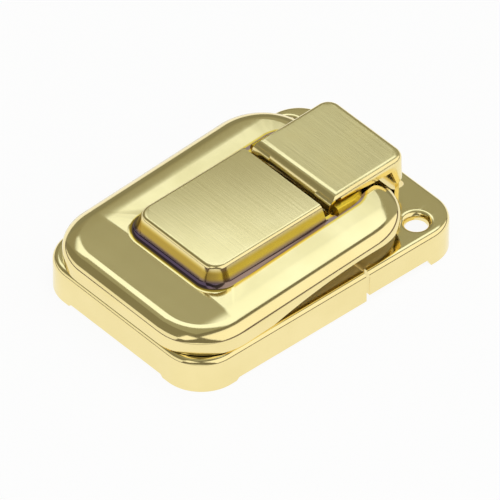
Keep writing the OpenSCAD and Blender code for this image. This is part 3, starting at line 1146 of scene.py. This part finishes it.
@dataclass
class Studio:
    """Pale floor and soft light from a broad panel, reflectors and grey walls.

    Attributes:
        floor_size: edge of the floor, in metres.
        floor_drop: how far it lies below the feet, in metres.
        floor_colour: its colour where the shadow falls.
        floor_roughness: its roughness.
        floor_glow: share of the floor that shows plain white.
        room: the light where no zone lies.
        zones: the room's patches of light, each laid over those before it.
        least_rise: rise that stands in for a flatter direction's own.
        lamp_place: place of the lamp, in metres.
        lamp_size: diameter of the lamp, in metres.
        lamp_power: power of the lamp, in watts.
    """

    floor_size: float = 3.0
    floor_drop: float = 0.02 * MILLIMETRE
    floor_colour: Colour = (0.9, 0.9, 0.9)
    floor_roughness: float = 0.9
    floor_glow: float = 0.92
    room: Colour = GREY_ROOM
    zones: tuple[Zone, ...] = ROOM_ZONES
    least_rise: float = 0.02
    lamp_place: Point = (-0.1, -0.15, 0.6)
    lamp_size: float = 0.5
    lamp_power: float = 1.2

    def build(self) -> None:
        """Makes the floor, the world and the lamp."""
        self._floor()
        self._world()
        self._lamp()

    def _floor(self) -> None:
        """Lays a plain plane under the latch."""
        shape = bmesh.new()
        bmesh.ops.create_grid(shape, x_segments=1, y_segments=1, size=self.floor_size / 2)
        mesh = bpy.data.meshes.new("floor")
        shape.to_mesh(mesh)
        shape.free()
        mesh.materials.append(self._floor_paint())
        floor = bpy.data.objects.new("floor", mesh)
        floor.location.z = -self.floor_drop
        bpy.context.scene.collection.objects.link(floor)

    def _floor_paint(self) -> bpy.types.Material:
        """Paint that shows white to the camera and in the metal, and keeps a faint shadow.

        Returns:
            The floor's material.
        """
        made = bpy.data.materials.new("pale_floor")
        made.use_nodes = True
        tree = made.node_tree
        matt = tree.nodes["Principled BSDF"]
        matt.inputs["Base Color"].default_value = opaque(self.floor_colour)
        matt.inputs["Roughness"].default_value = self.floor_roughness
        matt.inputs["Specular IOR Level"].default_value = 0.0
        white = tree.nodes.new("ShaderNodeEmission")
        white.inputs["Strength"].default_value = 1.0
        ray = tree.nodes.new("ShaderNodeLightPath")
        seen = math_node(tree, "MAXIMUM", ray.outputs["Is Camera Ray"], ray.outputs["Is Glossy Ray"])
        both = tree.nodes.new("ShaderNodeMixShader")
        feed(tree, product(tree, seen, self.floor_glow), both.inputs[0])
        feed(tree, matt.outputs[0], both.inputs[1])
        feed(tree, white.outputs[0], both.inputs[2])
        feed(tree, both.outputs[0], tree.nodes["Material Output"].inputs["Surface"])
        return made

    def _inside(self, tree: Tree, zone: Zone, runs: tuple[Socket, Socket, Socket]) -> Socket:
        """How far a direction lies inside a zone.

        Args:
            tree: the world's nodes.
            zone: the patch of light.
            runs: the run along, the run across and the sine of the elevation.

        Returns:
            A number from 0 outside to 1 inside.
        """
        along, across, height = runs
        slanted = math_node(tree, "ADD", product(tree, across, zone.slant), along)
        half = zone.soft / 2
        steps = []
        for value, (low, high) in ((slanted, zone.along), (across, zone.across), (height, zone.height)):
            if low is not None:
                steps.append(soft_step(tree, value, low - half, low + half))
            if high is not None:
                steps.append(soft_step(tree, value, high + half, high - half))
        inside = steps[0]
        for step in steps[1:]:
            inside = product(tree, inside, step)
        return inside

    def _world(self) -> None:
        """Lights the room by direction, zone over zone, and shows white to the camera."""
        world = bpy.data.worlds.new("soft_room")
        world.use_nodes = True
        bpy.context.scene.world = world
        tree = world.node_tree
        place = tree.nodes.new("ShaderNodeTexCoord")
        way = axes(tree, place.outputs["Generated"])
        rise = math_node(tree, "MAXIMUM", way.outputs["Z"], self.least_rise)
        along = math_node(tree, "DIVIDE", way.outputs["X"], rise)
        across = math_node(tree, "DIVIDE", way.outputs["Y"], rise)
        runs = (along, across, way.outputs["Z"])
        light: Fed = opaque(self.room)
        for zone in self.zones:
            inside = self._inside(tree, zone, runs)
            light = mixed(tree, MixKind.COLOUR, light, opaque(zone.light), inside)
        ray = tree.nodes.new("ShaderNodeLightPath")
        light = mixed(tree, MixKind.COLOUR, light, opaque(WHITE), ray.outputs["Is Camera Ray"])
        feed(tree, light, tree.nodes["Background"].inputs["Color"])
        tree.nodes["Background"].inputs["Strength"].default_value = 1.0

    def _lamp(self) -> None:
        """Hangs one broad lamp over the latch for its soft shadow."""
        data = bpy.data.lights.new("broad_lamp", "AREA")
        data.shape = "DISK"
        data.size = self.lamp_size
        data.energy = self.lamp_power
        lamp = bpy.data.objects.new("broad_lamp", data)
        lamp.location = self.lamp_place
        lamp.rotation_euler = (-lamp.location).to_track_quat("-Z", "Y").to_euler()
        lamp.visible_glossy = False
        bpy.context.scene.collection.objects.link(lamp)


@dataclass
class Viewpoint:
    """Long lens that looks down on the free end and the near side.

    Attributes:
        azimuth: turn round the latch, in degrees.
        elevation: height over the floor, in degrees.
        width: width of the frame at the latch, in metres.
        lens: focal length, in millimetres.
        aim: the point that the frame's middle would see without the offset, in metres.
        offset: shift of the aim to the right and up in the frame, in metres.
        nearest: nearest distance that is drawn, as a share of the camera's.
        farthest: farthest distance that is drawn, likewise.
    """

    azimuth: float = -41.46
    elevation: float = 41.87
    width: float = 0.072
    lens: float = 1000.0
    aim: Point = (0.0002, 0.0, 0.005)
    offset: tuple[float, float] = (-0.000212, -0.002068)
    nearest: float = 0.05
    farthest: float = 4.0

    def build(self) -> None:
        """Makes the camera and gives it to the scene."""
        turn = math.radians(self.azimuth)
        height = math.radians(self.elevation)
        level = math.cos(height)
        back = Vector((math.sin(turn) * level, -math.cos(turn) * level, math.sin(height)))
        right = Vector((math.cos(turn), math.sin(turn), 0.0))
        up = back.cross(right)
        data = bpy.data.cameras.new("long_lens")
        data.lens = self.lens
        distance = self.width * self.lens / data.sensor_width
        data.clip_start = distance * self.nearest
        data.clip_end = distance * self.farthest
        camera = bpy.data.objects.new("long_lens", data)
        middle = Vector(self.aim) + right * self.offset[0] + up * self.offset[1]
        camera.location = middle + back * distance
        camera.rotation_euler = (-back).to_track_quat("-Z", "Y").to_euler()
        bpy.context.scene.collection.objects.link(camera)
        bpy.context.scene.camera = camera


def main() -> None:
    """Dresses each sub-assembly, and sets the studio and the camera."""
    logging.basicConfig(level=logging.INFO, format="%(name)s: %(message)s")
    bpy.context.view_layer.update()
    bpy.context.scene.view_settings.view_transform = "Standard"
    shelf = FinishShelf()
    for assembly in (Plates(), Cover(), Claw(), Pivots()):
        assembly.dress(shelf)
    Studio().build()
    Viewpoint().build()


if __name__ == "__main__":
    main()
